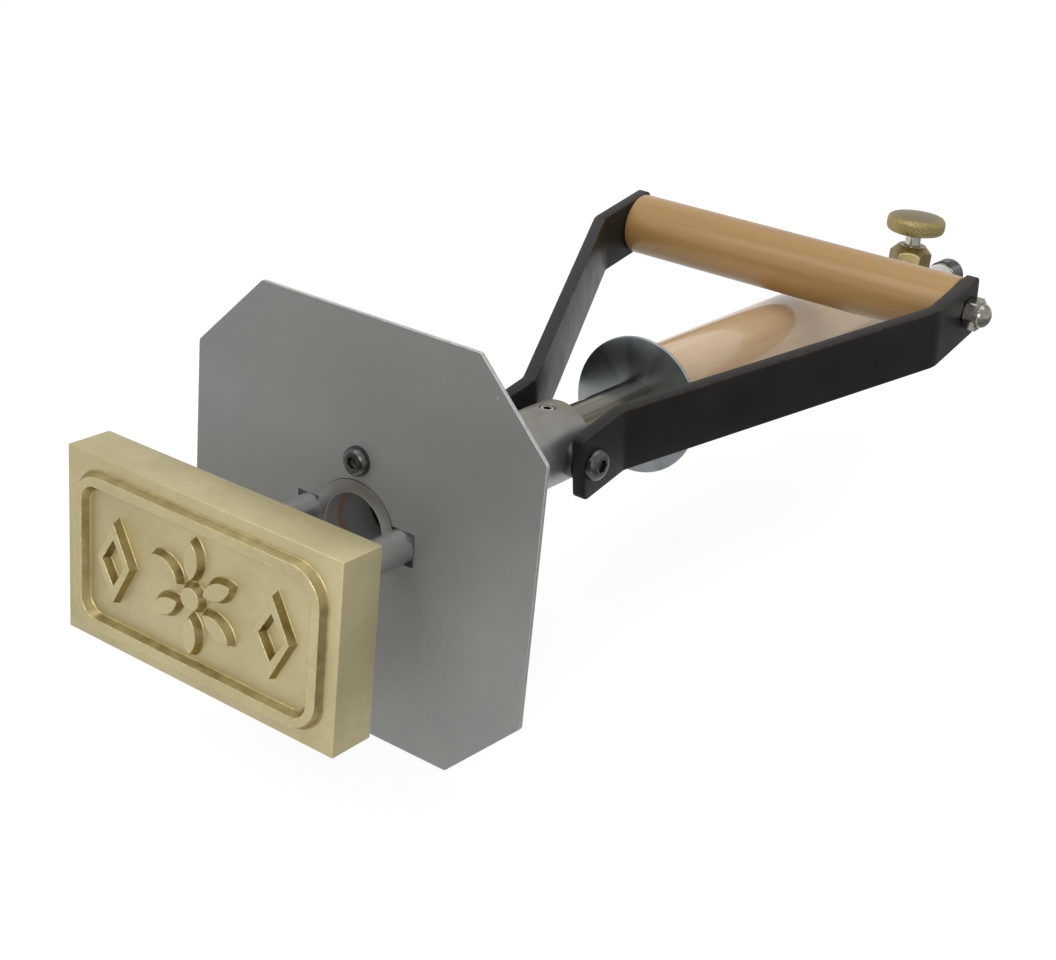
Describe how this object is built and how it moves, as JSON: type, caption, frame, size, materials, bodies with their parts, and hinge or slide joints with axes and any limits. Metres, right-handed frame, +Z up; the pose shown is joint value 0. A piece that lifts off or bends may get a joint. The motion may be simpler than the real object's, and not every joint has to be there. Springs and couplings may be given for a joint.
{
  "type": "propane branding iron",
  "caption": "Gas-heated branding iron: brass die on rods, shielded burner, in-line wooden handle with needle valve, and a tilting yoke with a wooden cross handle.",
  "frame": {"origin": "centre of the die's branding face, on the burner's axis", "axes": "+Y along the tool from the branding face to the hose inlet, +X to the right seen from the die, +Z up to the valve's knob"},
  "size_m": [0.196, 0.573, 0.151],
  "materials": {
    "die_brass": "satin machined brass",
    "rod_steel": "satin drawn steel",
    "shield_steel": "satin sheet steel",
    "holder_steel": "satin turned steel with heat tint",
    "zinc_plate": "bright zinc plate",
    "black_screw": "black oxide",
    "black_bar": "satin black",
    "beech": "varnished beech",
    "valve_brass": "turned brass",
    "knob_brass": "dull knurled brass",
    "bright_steel": "bright plated steel",
    "copper_pipe": "drawn copper",
    "packing": "graphite packing"
  },
  "bodies": {
    "burner": {"brand_die": "die_brass", "die_rod_left": "rod_steel", "die_rod_right": "rod_steel", "heat_shield": "shield_steel", "shield_flange": "shield_steel", "shield_screws": "black_screw", "burner_holder": "holder_steel", "holder_set_screw": "zinc_plate", "flame_head": "holder_steel", "burner_tube": "zinc_plate", "gas_pipe": "copper_pipe", "gas_jet": "valve_brass", "jet_spider": "valve_brass", "guard_disc": "zinc_plate", "inline_handle": "beech", "handle_washer": "zinc_plate", "handle_nut": "zinc_plate", "tube_bush": "valve_brass", "valve_body": "valve_brass", "valve_bonnet": "valve_brass", "gland_packing": "packing", "hose_inlet": "bright_steel", "pivot_screws": "black_screw", "pivot_spacers": "holder_steel"},
    "yoke": {"yoke_arm_left": "black_bar", "yoke_arm_right": "black_bar", "cross_handle": "beech", "handle_tie_rod": "zinc_plate", "tie_nuts": "bright_steel"},
    "stem": {"valve_stem": "bright_steel"},
    "knob": {"valve_knob": "knob_brass", "knob_set_screw": "black_screw"}
  },
  "joints": [
    {"name": "yoke_tilt", "type": "hinge", "parent": "burner", "child": "yoke", "pos_m": [0, 0.186, 0], "axis": [1, 0, 0], "range_deg": [-0.9, 78.4]},
    {"name": "stem_lift", "type": "slide", "parent": "burner", "child": "stem", "axis": [0, 0, 1], "range_m": [0, 0.002]},
    {"name": "knob_turn", "type": "hinge", "parent": "stem", "child": "knob", "pos_m": [0, 0.513, 0], "axis": [0, 0, 1], "range_deg": [0, 720]}
  ],
  "couplings": [
    {"joint": "knob_turn", "follows": "stem_lift", "rad_per_m": 6283.2}
  ]
}
